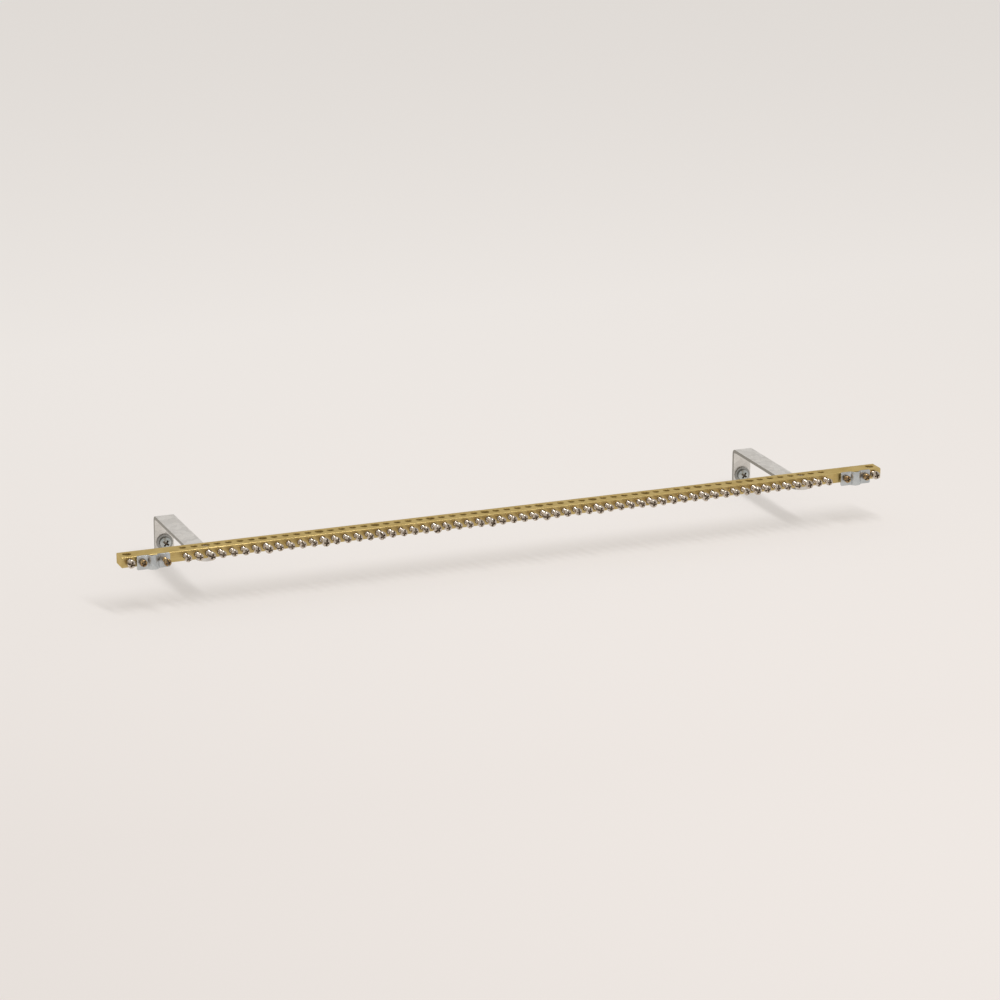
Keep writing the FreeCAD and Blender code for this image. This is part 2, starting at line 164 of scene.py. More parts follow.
def make_piece(name, shell, finish, slot, nodes, second_finish=None, where=None):
    """Welded mesh of a shell, riding on the fixed body, standing for CAD nodes.

    The second finish goes on the shell's marked faces, or else where takes the faces' centres,
    in millimetres, and their normals, and picks the faces that have it.
    """
    mesh = bpy.data.meshes.new(name)
    mesh.from_pydata((np.concatenate(shell.points) * MM).tolist(), [], shell.faces)
    mesh.polygons.foreach_set("use_smooth", shell.smooth)
    mesh.materials.append(finish)
    if second_finish:
        mesh.materials.append(second_finish)
        mesh.polygons.foreach_set("material_index", np.array(shell.marked, np.int32))
    work = bmesh.new()
    work.from_mesh(mesh)
    bmesh.ops.remove_doubles(work, verts=work.verts, dist=WELD)
    bmesh.ops.recalc_face_normals(work, faces=work.faces)
    open_edges = sum(1 for edge in work.edges if not edge.is_manifold)
    work.to_mesh(mesh)
    work.free()
    mesh.set_sharp_from_angle(angle=SHARP)
    if where:
        centres = np.empty(len(mesh.polygons) * 3)
        normals = np.empty(len(mesh.polygons) * 3)
        mesh.polygons.foreach_get("center", centres)
        mesh.polygons.foreach_get("normal", normals)
        picked = where(centres.reshape(-1, 3) / MM, normals.reshape(-1, 3))
        mesh.polygons.foreach_set("material_index", picked.astype(np.int32))
    piece = bpy.data.objects.new(name, mesh)
    bpy.context.scene.collection.objects.link(piece)
    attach(piece, "root")
    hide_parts(*nodes)
    mesh.calc_loop_triangles()
    print(name, "triangles", len(mesh.loop_triangles), "open edges", open_edges)


def make_one(name, shape, matrix, shift, finish, slot, node, *second):
    """Piece that is one turned and shifted copy of a shape and stands for one node."""
    one = Shell()
    one.place(shape, matrix, shift)
    make_piece(name, one, finish, slot, [node], *second)


print("welding within", round(WELD / MM, 4), "mm")

# %% [markdown]
# ## Colour and nodes
# Colours are written as the sRGB hex values that a colour picker shows, and one function turns
# them to the linear values that the renderer adds up. Nodes could be placed by hand in the
# editor. Here one small function adds a node, sets its properties and fills or links its
# sockets, so a material reads from top to bottom.

# %% Colour and node helpers


def colour(code):
    """Linear RGBA of an sRGB hex code, by the sRGB curve."""
    parts = np.array([int(code[n:n + 2], 16) for n in (1, 3, 5)]) / 255
    linear = np.where(parts <= 0.04045, parts / 12.92, ((parts + 0.055) / 1.055) ** 2.4)
    return (*linear.tolist(), 1.0)


def add_node(tree, kind, settings=None, sockets=None):
    """Adds a node; a socket, by name or number, takes a value or a link from another socket."""
    node = tree.nodes.new(kind)
    for key, setting in (settings or {}).items():
        setattr(node, key, setting)
    for key, given in (sockets or {}).items():
        if isinstance(given, bpy.types.NodeSocket):
            tree.links.new(given, node.inputs[key])
        else:
            node.inputs[key].default_value = given
    return node


def start_finish(name, stretch=(1, 1, 1)):
    """Empty material with a metal surface, and its object coordinates in millimetres, stretched."""
    finish = bpy.data.materials.new(name)
    finish.use_nodes = True
    tree = finish.node_tree
    tree.nodes.clear()
    surface = add_node(tree, "ShaderNodeBsdfPrincipled", sockets={"Metallic": 1.0})
    output = add_node(tree, "ShaderNodeOutputMaterial", sockets={"Surface": surface.outputs[0]})
    output.is_active_output = True
    place = add_node(tree, "ShaderNodeTexCoord").outputs["Object"]
    scale = tuple(part / MM for part in stretch)
    millimetres = add_node(tree, "ShaderNodeMapping",
                           sockets={"Vector": place, "Scale": scale}).outputs[0]
    return finish, tree, surface, millimetres


print("brass as linear", [round(part, 3) for part in colour("#DAC183")])

# %% [markdown]
# ## Drawn brass
# The bar is free-cutting brass, drawn through a die and left as it comes: a greenish yellow,
# half bright, with fine lines along its length and a little dulling where it was handled. A
# picture of brushed metal could be wrapped round it, but noise that is stretched along the bar
# never repeats. The lines are really about 0.05 mm apart. They are drawn at 0.35 mm across and
# 60 mm long so that they show, and patches of 12 mm carry the dulling.

# %% Drawn brass
LINE_LENGTH, LINE_WIDTH, PATCH = 60.0, 0.35, 12.0
drawn_brass, tree, surface, mm = start_finish(
    "drawn brass", (1 / LINE_LENGTH, 1 / LINE_WIDTH, 1 / LINE_WIDTH))
lines = add_node(tree, "ShaderNodeTexNoise", sockets={"Vector": mm, "Scale": 1.0, "Detail": 3.0})
place = add_node(tree, "ShaderNodeTexCoord").outputs["Object"]
patches = add_node(tree, "ShaderNodeTexNoise",
                   sockets={"Vector": place, "Scale": 1 / (PATCH * MM), "Detail": 4.0,
                            "Roughness": 0.6})
tone = add_node(tree, "ShaderNodeMapRange",
                sockets={"Value": patches.outputs[0], "From Min": 0.35, "From Max": 0.7})
body_colour = add_node(tree, "ShaderNodeMix", {"data_type": "RGBA"},
                       {0: tone.outputs[0], 6: colour("#DAC183"), 7: colour("#C6AC6E")})
line_tone = add_node(tree, "ShaderNodeMapRange",
                     sockets={"Value": lines.outputs[0], "From Min": 0.3, "From Max": 0.7,
                              "To Min": 0.0, "To Max": 0.35})
line_colour = add_node(tree, "ShaderNodeMix", {"data_type": "RGBA"},
                       {0: line_tone.outputs[0], 6: body_colour.outputs[2], 7: colour("#9A8350")})
dulling = add_node(tree, "ShaderNodeMapRange",
                   sockets={"Value": patches.outputs[0], "From Min": 0.3, "From Max": 0.7,
                            "To Min": 0.3, "To Max": 0.46})
relief = add_node(tree, "ShaderNodeBump",
                  sockets={"Height": lines.outputs[0], "Strength": 0.12, "Distance": 0.02 * MM})
surface.inputs["Specular Tint"].default_value = colour("#F2E8CE")
tree.links.new(line_colour.outputs[2], surface.inputs["Base Color"])
tree.links.new(dulling.outputs[0], surface.inputs["Roughness"])
tree.links.new(relief.outputs[0], surface.inputs["Normal"])
print(drawn_brass.name, "nodes", len(tree.nodes))

# %% [markdown]
# ## Drilled brass, with painted shade
# Inside the holes the drill left rings about 0.4 mm apart. The walls are painted a duller brown
# than the drawn faces. This is painted shade, because light reaches them only through the mouths.
# They are also rougher and partly matt, so that the far wall shows at the mouth. Real grooves
# would need thousands of faces, so bands of colour stand for them.

# %% Drilled brass
# At a scale of 1 the bands are 2 pi / 20 = 0.31 mm apart.
RING_SCALE = 0.8
drilled_brass_and_painted_shade, tree, surface, mm = start_finish("drilled brass and painted shade")
rings = add_node(tree, "ShaderNodeTexWave", {"wave_type": "BANDS", "bands_direction": "Z"},
                 {"Vector": mm, "Scale": RING_SCALE, "Distortion": 0.6})
# Both browns are darker than the drawn brass: painted shade inside the holes.
ring_colour = add_node(tree, "ShaderNodeMix", {"data_type": "RGBA"},
                       {0: rings.outputs["Fac"], 6: colour("#B59C5C"), 7: colour("#967E48")})
tree.links.new(ring_colour.outputs[2], surface.inputs["Base Color"])
surface.inputs["Roughness"].default_value = 0.6
surface.inputs["Metallic"].default_value = 0.5
print(drilled_brass_and_painted_shade.name, "nodes", len(tree.nodes))

# %% [markdown]
# ## Zinc plating
# The clamping screws are steel with a thin bright coat of zinc, a little warm in tone. The coat
# levels small scratches, so they mirror the room with only a soft blur. The wall screws and
# their washers have a greyer coat, darker and duller on the washers. The driver's recesses are
# painted a dark brown: painted shade, where little light gets in, over a coat that is thinner
# there. The four finishes could be four materials written out, but only their tones and blur
# differ, so one function makes them. A grain of 1.5 mm keeps neighbouring heads from looking alike.

# %% Zinc plating
GRAIN = 1.5


def zinc_plating(name, light, dark, sharpest, dullest):
    """Plated steel whose tone and blur drift between two ends with a fine grain."""
    finish, tree, surface, mm = start_finish(name)
    grain = add_node(tree, "ShaderNodeTexNoise",
                     sockets={"Vector": mm, "Scale": 1 / GRAIN, "Detail": 3.0})
    blur = add_node(tree, "ShaderNodeMapRange",
                    sockets={"Value": grain.outputs[0], "From Min": 0.3, "From Max": 0.7,
                             "To Min": sharpest, "To Max": dullest})
    tone = add_node(tree, "ShaderNodeMix", {"data_type": "RGBA"},
                    {0: grain.outputs[0], 6: colour(light), 7: colour(dark)})
    tree.links.new(tone.outputs[2], surface.inputs["Base Color"])
    tree.links.new(blur.outputs[0], surface.inputs["Roughness"])
    return finish


bright_zinc = zinc_plating("bright zinc plating", "#E2D6C8", "#AA9A87", 0.12, 0.22)
dull_zinc = zinc_plating("dull zinc plating", "#A8A6A1", "#7F7D78", 0.2, 0.34)
grey_zinc = zinc_plating("grey zinc plating", "#C8CAC6", "#A6A8A4", 0.14, 0.26)
# Dark brown for the drivers' recesses: mostly painted shade, over the thinner coat there.
recess_zinc_and_painted_shade = zinc_plating("thin zinc and painted shade in a recess", "#948572", "#736554", 0.4, 0.55)
print(*(coat.name for coat in (bright_zinc, dull_zinc, grey_zinc, recess_zinc_and_painted_shade)), sep=", ")

# %% [markdown]
# ## Galvanised strip
# Brackets and saddles are cut from steel that was dipped in molten zinc. It froze in flat
# crystals, the spangle, which differ a little in tone and shine. Noise alone would look like
# dirt, so cells with straight borders stand for the crystals. They are about 5 mm across, and a
# faint mottling of 1.2 mm lies over them. The saddles' thinner sheet is bluer.

# %% Galvanised strip and sheet
CRYSTAL, MOTTLING = 5.0, 1.2


def galvanised(name, light, middling, spots):
    """Zinc crystals between two tones, with mottling towards a third."""
    finish, tree, surface, mm = start_finish(name)
    cells = add_node(tree, "ShaderNodeTexVoronoi", {"feature": "F1"},
                     {"Vector": mm, "Scale": 1 / CRYSTAL, "Randomness": 1.0})
    mottle = add_node(tree, "ShaderNodeTexNoise",
                      sockets={"Vector": mm, "Scale": 1 / MOTTLING, "Detail": 4.0,
                               "Roughness": 0.65})
    cell_tone = add_node(tree, "ShaderNodeSeparateColor", sockets={0: cells.outputs["Color"]})
    crystal = add_node(tree, "ShaderNodeMix", {"data_type": "RGBA"},
                       {0: cell_tone.outputs[0], 6: colour(light), 7: colour(middling)})
    spotted = add_node(tree, "ShaderNodeMapRange",
                       sockets={"Value": mottle.outputs[0], "From Min": 0.45, "From Max": 0.75,
                                "To Min": 0.0, "To Max": 0.4})
    tone = add_node(tree, "ShaderNodeMix", {"data_type": "RGBA"},
                    {0: spotted.outputs[0], 6: crystal.outputs[2], 7: colour(spots)})
    crystal_blur = add_node(tree, "ShaderNodeMapRange",
                            sockets={"Value": cell_tone.outputs[1], "To Min": 0.34, "To Max": 0.48})
    orange_peel = add_node(tree, "ShaderNodeBump",
                           sockets={"Height": mottle.outputs[0], "Strength": 0.15,
                                    "Distance": 0.03 * MM})
    tree.links.new(tone.outputs[2], surface.inputs["Base Color"])
    tree.links.new(crystal_blur.outputs[0], surface.inputs["Roughness"])
    tree.links.new(orange_peel.outputs[0], surface.inputs["Normal"])
    return finish


galvanised_strip = galvanised("galvanised strip", "#E7E2DB", "#D4CFC8", "#B7B2AB")
galvanised_sheet = galvanised("galvanised sheet", "#D0D2D1", "#BEC1C1", "#A3A7A8")
print(galvanised_strip.name, "and", galvanised_sheet.name)

# %% [markdown]
# ## Sheared edge
# The strip was cut after it was galvanised, so its edges show the steel: grey, dull, with a
# coarse grain of about 0.8 mm where the metal tore. It is a finish of its own, because a tone
# that faded towards the edges would not stop as sharply.

# %% Sheared edge
TEAR = 0.8
sheared_edge, tree, surface, mm = start_finish("sheared steel edge")
tear = add_node(tree, "ShaderNodeTexNoise",
                sockets={"Vector": mm, "Scale": 1 / TEAR, "Detail": 3.0})
tear_colour = add_node(tree, "ShaderNodeMix", {"data_type": "RGBA"},
                       {0: tear.outputs[0], 6: colour("#B2ADA4"), 7: colour("#9A958C")})
tree.links.new(tear_colour.outputs[2], surface.inputs["Base Color"])
surface.inputs["Roughness"].default_value = 0.6
print(sheared_edge.name, "nodes", len(tree.nodes))

# %% [markdown]
# ## Yellow chromated zinc
# The saddles' screws have the same zinc with a yellow chromate over it. The chromate is a thin
# film, so it drifts from straw to a pinkish bronze over a few millimetres. A thin-film shader
# could work out such colours, but two picked tones are nearer to the real ones.

# %% Yellow chromated zinc
DRIFT = 3.0
yellow_zinc, tree, surface, mm = start_finish("yellow chromated zinc")
film = add_node(tree, "ShaderNodeTexNoise",
                sockets={"Vector": mm, "Scale": 1 / DRIFT, "Detail": 2.0})
drift = add_node(tree, "ShaderNodeMapRange",
                 sockets={"Value": film.outputs[0], "From Min": 0.35, "From Max": 0.65})
film_colour = add_node(tree, "ShaderNodeMix", {"data_type": "RGBA"},
                       {0: drift.outputs[0], 6: colour("#B79C6C"), 7: colour("#8E6F4C")})
tree.links.new(film_colour.outputs[2], surface.inputs["Base Color"])
surface.inputs["Roughness"].default_value = 0.24
print(yellow_zinc.name, "nodes", len(tree.nodes))

# %% [markdown]
# ## The drilled bar
# Seen from above, a terminal is a round hole in a rectangle of brass. A ring of points round the
# hole and a ring of as many points round the rectangle bound one patch, and the same patch
# serves the top, the underside and the front. Inside, the tapped hole runs into the cable hole
# on the curve where the two cylinders cross, which is known exactly, so no boolean is needed.

# %% Sizes of the bar
# Points round a hole, along one side of its rectangle and in a quarter circle, and rings of
# points from the crossing of two holes to its border.
AROUND = 32
SIDE = AROUND // 4
ARC_POINTS = 5
SECTOR_RINGS = 4
# Angles of a hole's points. The first points at the rectangle's low corner.
TURN = np.radians(-135 + np.arange(AROUND) * 360 / AROUND)
# Terminals stand in sets of five with a large one in the middle.
PITCH = 10.0
TERMINALS = 60
PER_SET = 5
LARGE_IN_SET = 3
# Radii of the upright cable hole and of the tapped hole.
SMALL = {"cable": 2.7, "tap": 2.1}
LARGE = {"cable": 3.5, "tap": 2.6}
# The cable holes' row behind the front, the rounding of the long edges, and the bevels of the
# ends and of the holes' mouths.
HOLE_ROW = 8.6
EDGE = 0.5
END_BEVEL = 0.4
MOUTH = 0.5
DEPTH = bar_high[1] - bar_low[1]
HEIGHT = bar_high[2] - bar_low[2]
HALF = (bar_high[0] - bar_low[0]) / 2
MIDDLE = HEIGHT / 2
print("bar", DEPTH.round(2), "deep,", HEIGHT.round(2), "high")

# %% Patch between a hole and its rectangle


def rectangle(low, high):
    """Points along a rectangle's four sides, as many on each, from its low corner."""
    along = np.arange(SIDE) / SIDE
    (left, bottom), (right, top) = low, high
    first = np.concatenate([left + (right - left) * along, np.full(SIDE, right),
                            right + (left - right) * along, np.full(SIDE, left)])
    second = np.concatenate([np.full(SIDE, bottom), bottom + (top - bottom) * along,
                             np.full(SIDE, top), top + (bottom - top) * along])
    return np.stack([first, second], -1)


def drilled_face(shell, low, high, centre, radius, level, mouth_level, plane):
    """Flat patch from a rectangle to a hole's mouth, then the bevel down to the hole's wall."""
    first, second = ("xyz".index(axis) for axis in plane)
    third = 3 - first - second
    outer = np.zeros((AROUND, 3))
    outer[:, [first, second]] = rectangle(low, high)
    outer[:, third] = level
    middle = np.zeros(3)
    middle[[first, second]] = centre
    rings = []
    for ring_radius, ring_level in ((radius + MOUTH, level), (radius, mouth_level)):
        middle[third] = ring_level
        rings.append(circle(ring_radius, TURN, plane, middle))
    shell.grid([outer, rings[0]], closed=True, smooth=False)
    shell.grid(rings, closed=True)
    return rings[1]


print("points round a rectangle", len(rectangle((0, 0), (PITCH, HEIGHT))))

# %% Walls of the two crossing holes


def crossing(cable, tap, angles):
    """Curve where the tapped hole meets the cable hole's wall.

    A point of the tapped hole is at x = tap cos, z = tap sin, and the wall is at
    y = row - root(cable squared - x squared).
    """
    x = tap * np.cos(angles)
    return np.stack([x, HOLE_ROW - np.sqrt(cable ** 2 - x ** 2), MIDDLE + tap * np.sin(angles)], -1)


def on_wall(cable, angle, height):
    """Point of the cable hole's wall: x = cable sin(angle), y = row - cable cos(angle)."""
    return np.stack([cable * np.sin(angle), HOLE_ROW - cable * np.cos(angle), height], -1)


def cable_wall(shell, cable, tap):
    """Wall of the cable hole: a sector with the crossing in it, and the plain rest of the round.

    The sector is worked out unrolled, as angle and height, between its border and the crossing,
    and then rolled up on the cylinder. Its border has as many points as the crossing.
    """
    step = 2 * math.pi / AROUND
    half = SIDE - 1
    bottom, top = MOUTH, HEIGHT - MOUTH
    across = np.arange(-half, half) * step
    border = np.concatenate([
        np.stack([across, np.full(2 * half, bottom)], -1),
        np.array([[half * step, bottom], [half * step, MIDDLE]]),
        np.stack([-across, np.full(2 * half, top)], -1),
        np.array([[-half * step, top], [-half * step, MIDDLE]])])
    angles = -math.pi / 2 + (np.arange(AROUND) - half) * step
    inner = np.stack([np.arcsin(tap * np.cos(angles) / cable), MIDDLE + tap * np.sin(angles)], -1)
    blend = np.linspace(0, 1, SECTOR_RINGS)[:, None, None]
    unrolled = border + (inner - border) * blend
    shell.grid(on_wall(cable, unrolled[..., 0], unrolled[..., 1]), closed=True)
    rest = half * step + np.arange(AROUND - 2 * half + 1) * step
    shell.grid([on_wall(cable, rest, np.full(len(rest), level)) for level in (bottom, MIDDLE, top)])


small_crossing = crossing(SMALL["cable"], SMALL["tap"], TURN)
print("a small crossing is up to", small_crossing[:, 1].max().round(2), "mm behind the front")

# %% One terminal


def terminal_cell(kind):
    """One pitch of the bar round X = 0: top, underside, front, and the two holes."""
    shell = Shell()
    low, high = (-PITCH / 2, EDGE), (PITCH / 2, DEPTH - EDGE)
    for level, mouth in ((HEIGHT, HEIGHT - MOUTH), (0.0, MOUTH)):
        drilled_face(shell, low, high, (0, HOLE_ROW), kind["cable"], level, mouth, "xy")
    mouth = drilled_face(shell, (-PITCH / 2, EDGE), (PITCH / 2, HEIGHT - EDGE), (0, MIDDLE),
                         kind["tap"], 0.0, MOUTH, "xz")
    shell.grid([mouth, crossing(kind["cable"], kind["tap"], TURN)], closed=True)
    cable_wall(shell, kind["cable"], kind["tap"])
    return shell


print("faces in a terminal", len(terminal_cell(SMALL).faces))

# %% [markdown]
# ## The ends of the bar
# Between the last terminal and the end there are two blind tapped holes for the saddle's screws
# and one more large terminal. What is left of each face could be a grid like the rest, but that
# is many faces for a plane. It is one flat plate instead, with a point on its border wherever a
# neighbour has one, so that the whole bar welds into a closed skin.

# %% Steps along one end
SADDLE_TAPS = (314.0, 333.0)
SADDLE_TAP_DEPTH = 11.0
END_TERMINAL = 343.0
CELLS_END = PITCH * TERMINALS / 2
# Rounding may part two equal places by less than this.
CLOSE = 1e-6


def cell_steps(centre):
    """Places of the points that a cell has along the bar."""
    return centre + np.linspace(-PITCH / 2, PITCH / 2, SIDE + 1)


tap_steps = [cell_steps(centre) for centre in (*SADDLE_TAPS, END_TERMINAL)]
end_steps = np.unique(np.concatenate([[CELLS_END, HALF - END_BEVEL], *tap_steps]).round(6))
print("points along one end", len(end_steps))

# %% Plates and blind taps


def plate(shell, steps, low, high, plane, level, left_points, right_points):
    """Flat face along the bar, with a point at each step and more on its short sides if asked."""
    first, second = ("xyz".index(axis) for axis in plane)
    between = np.linspace(low, high, SIDE + 1)[1:-1]
    corners = [(x, low) for x in steps]
    corners += [(steps[-1], part) for part in between] if right_points else []
    corners += [(x, high) for x in steps[::-1]]
    corners += [(steps[0], part) for part in between[::-1]] if left_points else []
    points = np.zeros((len(corners), 3))
    points[:, [first, second]] = corners
    points[:, 3 - first - second] = level
    shell.polygon(points)


def blind_tap(shell, centre):
    """Front face round a saddle screw's tapped hole, its wall and its flat bottom."""
    part = Shell()
    mouth = drilled_face(part, (-PITCH / 2, EDGE), (PITCH / 2, HEIGHT - EDGE), (0, MIDDLE),
                         SMALL["tap"], 0.0, MOUTH, "xz")
    bottom = circle(SMALL["tap"], TURN, "xz", (0, SADDLE_TAP_DEPTH, MIDDLE))
    part.grid([mouth, bottom], closed=True)
    part.polygon(bottom)
    shell.place(part, shift=(centre, 0, 0))


print("blind taps at", SADDLE_TAPS, "mm from the middle")

# %% Right-hand end, as one shell


def outline(radius, across):
    """Section of the bar at one X: a quarter circle of a radius round each corner's centre."""
    quarter = np.linspace(0, math.pi / 2, ARC_POINTS)
    back, top = DEPTH - EDGE, HEIGHT - EDGE
    arcs = []
    for turn, (y, z) in enumerate([(back, top), (EDGE, top), (EDGE, EDGE), (back, EDGE)]):
        angle = quarter + turn * math.pi / 2
        arcs.append(np.stack([np.full(ARC_POINTS, across), y + radius * np.cos(angle),
                              z + radius * np.sin(angle)], -1))
    return np.concatenate(arcs)


def bar_end():
    """All faces beyond the sixty terminals, without the rounded long edges."""
    shell = Shell()
    half_cell = PITCH / 2
    inner = end_steps[end_steps <= END_TERMINAL - half_cell + CLOSE]
    outer = end_steps[end_steps >= END_TERMINAL + half_cell - CLOSE]
    for level in (0.0, HEIGHT):
        plate(shell, inner, EDGE, DEPTH - EDGE, "xy", level, True, True)
        plate(shell, outer, EDGE, DEPTH - EDGE, "xy", level, True, False)
    shell.place(terminal_cell(LARGE), shift=(END_TERMINAL, 0, 0))
    for centre in SADDLE_TAPS:
        blind_tap(shell, centre)
    first_tap, second_tap = SADDLE_TAPS
    for gap in ((CELLS_END, first_tap - half_cell),
                (first_tap + half_cell, second_tap - half_cell)):
        plate(shell, np.array(gap), EDGE, HEIGHT - EDGE, "xz", 0.0, True, True)
    plate(shell, outer, EDGE, HEIGHT - EDGE, "xz", 0.0, True, False)
    rim, face = outline(EDGE, HALF - END_BEVEL), outline(EDGE - END_BEVEL, HALF)
    shell.grid([rim, face], closed=True)
    shell.polygon(face)
    return shell


right_end = bar_end()
print("faces in an end", len(right_end.faces))

# %% Terminals and ends in a row


def is_large(number):
    """Whether a terminal, counted from 1, is the large one of its set."""
    return number % PER_SET == LARGE_IN_SET


bar = Shell()
small_cell, large_cell = terminal_cell(SMALL), terminal_cell(LARGE)
terminal_places = (np.arange(1, TERMINALS + 1) - (TERMINALS + 1) / 2) * PITCH
for number, across in enumerate(terminal_places, start=1):
    bar.place(large_cell if is_large(number) else small_cell, shift=(across, 0, 0))
bar.place(right_end)
bar.place(right_end, matrix=np.diag([-1, 1, 1]))
print("faces in the row", len(bar.faces))

# %% Long edges and back, and the whole bar
cell_points = np.arange(-CELLS_END, CELLS_END + 0.01, PITCH / SIDE)
long_steps = np.unique(np.concatenate([-end_steps, cell_points, end_steps]).round(6))
for arc in outline(EDGE, 0.0).reshape(4, ARC_POINTS, 3):
    strip = np.tile(arc, (len(long_steps), 1, 1))
    strip[..., 0] = long_steps[:, None]
    bar.grid(strip)
back = np.zeros((2, len(long_steps), 3))
back[..., 0] = long_steps
back[..., 1] = DEPTH
back[0, :, 2], back[1, :, 2] = EDGE, HEIGHT - EDGE
bar.grid(back, smooth=False)
placed_bar = Shell()
placed_bar.place(bar, shift=(0, bar_low[1], bar_low[2]))
UNDER_A_FACE = 0.3 * MOUTH


def in_a_hole(centres, normals):
    """Faces of the holes: they lie under every outer face, away from the outer edges."""
    depth = np.minimum(centres - bar_low, bar_high - centres)
    outer_edge = (depth[:, 0] < END_BEVEL) | ((depth[:, 1] < EDGE) & (depth[:, 2] < EDGE))
    return np.all(depth > UNDER_A_FACE, axis=1) & ~outer_edge


# The faces inside the holes take the darker drilled brass, whose tone is painted shade.
make_piece("drilled_bar", placed_bar, drawn_brass, "brass", ["terminal_bar"],
           drilled_brass_and_painted_shade, in_a_hole)

# %% [markdown]
# ## Screws
# A terminal screw is a short thread with a low domed head, whose driver slot has a second,
# shorter slot across it, so that a flat or a cross-headed driver fits. A Screw modifier could
# wind the thread, and a boolean could cut the slots. Here the thread is a cylinder whose radius
# rises and falls with height and angle together, which is what makes it climb. A dome is a
# height above each point of a disc, and so is a recess, so a head is one grid of rings with the
# recess taken off the dome's height, and its faces stay few and clean.

# %% Thread
# Points round a thread and in a turn along it, its depth as a share of the pitch, and how fast
# its tip widens.
THREAD_AROUND = 18
STEPS_PER_TURN = 6
THREAD_SHARE = 0.6
TIP_SLOPE = 0.8


def full_turn(count):
    """Equal steps of angle once round, in radians."""
    return np.arange(count) * 2 * math.pi / count


def thread(radius, length, pitch):
    """Closed threaded rod along +Y from Y = 0.

    The radius is the outer one less the thread's depth times a triangle wave of
    (height / pitch - angle / full turn). At the tip it is the core's radius, and the limit
    grows from there by TIP_SLOPE for each millimetre.
    """
    depth = THREAD_SHARE * pitch
    angles = full_turn(THREAD_AROUND)
    heights = np.linspace(0, length, int(length / pitch * STEPS_PER_TURN) + 1)[:, None]
    phase = (heights / pitch - angles / (2 * math.pi)) % 1.0
    reach = radius - depth * np.abs(2 * phase - 1)
    reach = np.minimum(reach, radius - depth + (length - heights) * TIP_SLOPE)
    level = np.broadcast_to(heights, reach.shape)
    rows = np.stack([reach * np.cos(angles), level, reach * np.sin(angles)], -1)
    shell = Shell()
    shell.grid(rows, closed=True)
    shell.polygon(rows[0])
    shell.polygon(rows[-1])
    return shell


print("points round a thread", THREAD_AROUND, "and in a turn along it", STEPS_PER_TURN)

# %% Domed head with a recess of two crossing slots
# Width of the recess's sloping wall, bevel round the seat, and the share of the recess's depth
# from which a face takes the recess's dark finish, which is painted shade.
RECESS_WALL = 0.25
SEAT_BEVEL = 0.15
SUNK_SHARE = 0.4


def inside(limit, distance):
    """1 within a limit, 0 beyond it, and a straight ramp as wide as the recess's wall between."""
    return np.clip((limit - np.abs(distance)) / RECESS_WALL + 0.5, 0, 1)


def domed_head(radius, height, side, depth, slots, rings=26, around=72):
    """Closed head from Y = 0 to -height, the first slot along X and the second along Z.

    Above its straight side the dome falls as root(1 - (r / R) squared). The recess takes off its
    depth where a point is within a slot's half width and its reach.
    """
    angles = full_turn(around)
    share = np.sin(np.linspace(0, math.pi / 2, rings))[:, None]
    x, z = radius * share * np.cos(angles), radius * share * np.sin(angles)
    dome = side + (height - side) * np.sqrt(np.clip(1 - share ** 2, 0, 1))
    (long_half, long_reach), (short_half, short_reach) = slots
    recess = np.maximum(inside(long_half, z) * inside(long_reach, x),
                        inside(short_half, x) * inside(short_reach, z))
    top = np.stack([x, depth * recess - dome, z], -1)
    pairs = recess[1:-1] + recess[2:]
    corners = pairs + np.roll(pairs, -1, axis=1)
    shell = Shell()
    shell.grid(top[1:], closed=True, marked=(corners > 4 * SUNK_SHARE).ravel().tolist())
    fan = [[n, (n + 1) % around, around] for n in range(around)]
    shell.add(np.concatenate([top[1], top[0][:1]]), fan, True, [True] * around)
    seat = circle(radius - SEAT_BEVEL, angles, "xz")
    rim = circle(radius, angles, "xz", (0, -SEAT_BEVEL, 0))
    shell.grid([top[-1], rim, seat], closed=True)
    shell.polygon(seat)
    return shell


def screw(rod, head, slots, **detail):
    """Thread and head of one screw, its seat at Y = 0 and its head towards -Y."""
    shell = Shell()
    shell.place(thread(**rod))
    shell.place(domed_head(**head, slots=slots, **detail))
    return shell


def turned(angle):
    """Turn about the screw's own axis, Y."""
    cosine, sine = math.cos(angle), math.sin(angle)
    return np.array([[cosine, 0, sine], [0, 1, 0], [-sine, 0, cosine]])


def make_screw(node, fastener, seat, finish, slot="plated_steel", upright=np.eye(3)):
    """One screw on its seat, at a random turn about its own axis."""
    turn = upright @ turned(CHANCE.uniform(0, math.pi))
    name = node.replace("set_", "") + "_threaded"
    # The recess's faces take the dark finish of painted shade.
    make_one(name, fastener, turn, seat, finish, slot, node, recess_zinc_and_painted_shade)


print("a quarter turn", turned(math.pi / 2).round(3).tolist())

# %% Terminal screws
# A slot is given by half its width and its reach from the middle. The first cuts right across.
# A head's side is the height of its straight rim, and its depth is the recess's.
SMALL_SLOTS = ((0.55, 4.0), (0.55, 1.8))
LARGE_SLOTS = ((0.65, 5.0), (0.65, 2.1))
SMALL_ROD = {"radius": 1.98, "length": 12.0, "pitch": 0.7}
LARGE_ROD = {"radius": 2.48, "length": 12.0, "pitch": 0.8}
END_ROD = {**LARGE_ROD, "length": 8.0}
SMALL_HEAD = {"radius": 3.1, "height": 3.2, "side": 2.2, "depth": 1.2}
LARGE_HEAD = {"radius": 3.6, "height": 3.8, "side": 2.6, "depth": 1.5}
small_screw = screw(SMALL_ROD, SMALL_HEAD, SMALL_SLOTS)
large_screw = screw(LARGE_ROD, LARGE_HEAD, LARGE_SLOTS)
end_screw = screw(END_ROD, LARGE_HEAD, LARGE_SLOTS)
print("faces in a small screw", len(small_screw.faces))

